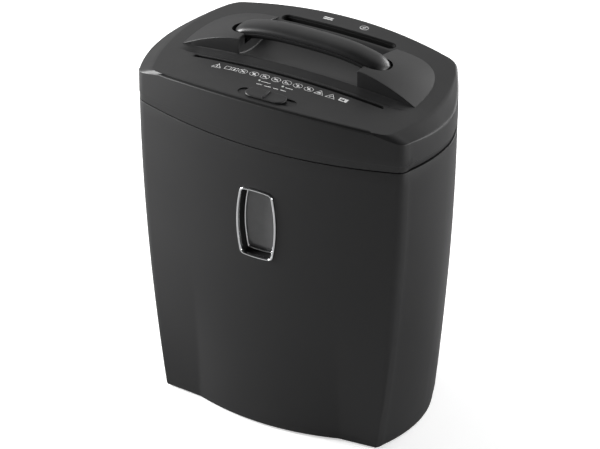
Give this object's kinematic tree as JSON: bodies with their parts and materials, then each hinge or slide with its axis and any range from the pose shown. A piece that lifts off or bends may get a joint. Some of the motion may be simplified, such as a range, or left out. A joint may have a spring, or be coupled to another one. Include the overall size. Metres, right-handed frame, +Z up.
{
  "type": "paper shredder",
  "caption": "Deskside paper shredder: tapered bin with a sight window, lift-off head with carry handle, paper slot, disc slot and slide switch.",
  "frame": {"origin": "centre of the floor area, at the feet's lower faces", "axes": "+Z up, front (window) towards -Y, +X to the right seen from the front"},
  "size_m": [0.346, 0.21, 0.4313],
  "materials": {
    "charcoal_plastic": "fine moulded grain, satin",
    "black_plastic": "fine moulded grain",
    "soft_rubber": "soft satin",
    "plated_trim": "bright plated",
    "smoked_pane": "polished, lightly smoked",
    "nylon": "natural nylon",
    "clear_plastic": "polished",
    "circuit_board": "lacquered",
    "brass": "turned",
    "steel": "ground"
  },
  "bodies": {
    "bin": {"bin_shell": "charcoal_plastic", "foot_front_left": "soft_rubber", "foot_front_right": "soft_rubber", "foot_back_left": "soft_rubber", "foot_back_right": "soft_rubber", "window_bezel": "plated_trim", "window_frame": "black_plastic", "window_inner_rim": "plated_trim", "window_pane": "smoked_pane"},
    "head": {"head_cover": "charcoal_plastic", "head_tray": "black_plastic", "screw_front_left": "steel", "screw_front_right": "steel", "screw_back_left": "steel", "screw_back_right": "steel", "handle_grip": "soft_rubber", "handle_rail": "charcoal_plastic", "handle_screw_left": "steel", "handle_screw_right": "steel", "disc_slot_bezel": "black_plastic", "paper_chute": "black_plastic", "disc_chute": "black_plastic", "function_switch": "nylon", "lamp_ready": "clear_plastic", "lamp_open": "clear_plastic", "compound_axle": "steel", "idler_axle": "steel", "disc_anvil": "steel", "stripper_comb_front": "nylon", "frame_plate_left": "steel", "frame_plate_right": "steel", "tie_rod_front": "steel", "tie_rod_low": "steel", "tie_rod_middle": "steel", "tie_rod_back": "steel", "bush_front_left": "brass", "bush_front_right": "brass", "bush_back_left": "brass", "bush_back_right": "brass", "bush_disc_left": "brass", "bush_disc_right": "brass", "gear_plate": "steel", "motor_case": "steel", "control_board": "circuit_board", "capacitor": "black_plastic", "cord_gland": "black_plastic"},
    "knob": {"function_knob": "black_plastic"},
    "front_roll": {"cutter_roll_front": "steel", "roll_gear_front": "steel"},
    "back_roll": {"cutter_roll_back": "steel", "roll_gear_back": "steel", "main_wheel": "nylon"},
    "compound": {"compound_gear": "nylon"},
    "idler": {"idler_gear": "nylon"},
    "disc_roll": {"disc_cutter": "steel", "disc_gear": "nylon"},
    "rotor": {"motor_shaft": "steel", "motor_pinion": "brass"},
    "flag": {"sensor_flag": "nylon"},
    "plunger": {"interlock_plunger": "nylon"}
  },
  "joints": [
    {"name": "head_lift", "type": "slide", "parent": "bin", "child": "head", "axis": [0, 0, 1], "range_m": [0, 0.075]},
    {"name": "knob_slide", "type": "slide", "parent": "head", "child": "knob", "axis": [1, 0, 0], "range_m": [-0.0055, 0.011]},
    {"name": "back_roll_spin", "type": "hinge", "parent": "head", "child": "back_roll", "pos_m": [0, -0.0214, 0.352], "axis": [1, 0, 0], "continuous": true},
    {"name": "front_roll_spin", "type": "hinge", "parent": "head", "child": "front_roll", "pos_m": [0, -0.0554, 0.352], "axis": [1, 0, 0], "continuous": true},
    {"name": "compound_spin", "type": "hinge", "parent": "head", "child": "compound", "pos_m": [0, 0.00894, 0.33688], "axis": [1, 0, 0], "continuous": true},
    {"name": "idler_spin", "type": "hinge", "parent": "head", "child": "idler", "pos_m": [0, 0.03532, 0.33799], "axis": [1, 0, 0], "continuous": true},
    {"name": "disc_roll_spin", "type": "hinge", "parent": "head", "child": "disc_roll", "pos_m": [0, 0.0595, 0.356], "axis": [1, 0, 0], "continuous": true},
    {"name": "rotor_spin", "type": "hinge", "parent": "head", "child": "rotor", "pos_m": [0, 0.024, 0.363], "axis": [1, 0, 0], "continuous": true},
    {"name": "flag_swing", "type": "hinge", "parent": "head", "child": "flag", "pos_m": [0, -0.0314, 0.38451], "axis": [1, 0, 0], "range_deg": [0, 18], "stiffness_Nm_per_rad": 0.002, "springref_deg": -11.46},
    {"name": "plunger_push", "type": "slide", "parent": "head", "child": "plunger", "axis": [0, 0, 1], "range_m": [0, 0.003], "stiffness_N_per_m": 150, "springref_m": -0.001}
  ],
  "couplings": [
    {"joint": "front_roll_spin", "follows": "back_roll_spin", "ratio": -1},
    {"joint": "compound_spin", "follows": "back_roll_spin", "ratio": -3.5},
    {"joint": "idler_spin", "follows": "back_roll_spin", "ratio": 1.4},
    {"joint": "disc_roll_spin", "follows": "back_roll_spin", "ratio": -2.3333},
    {"joint": "rotor_spin", "follows": "back_roll_spin", "ratio": 14}
  ]
}
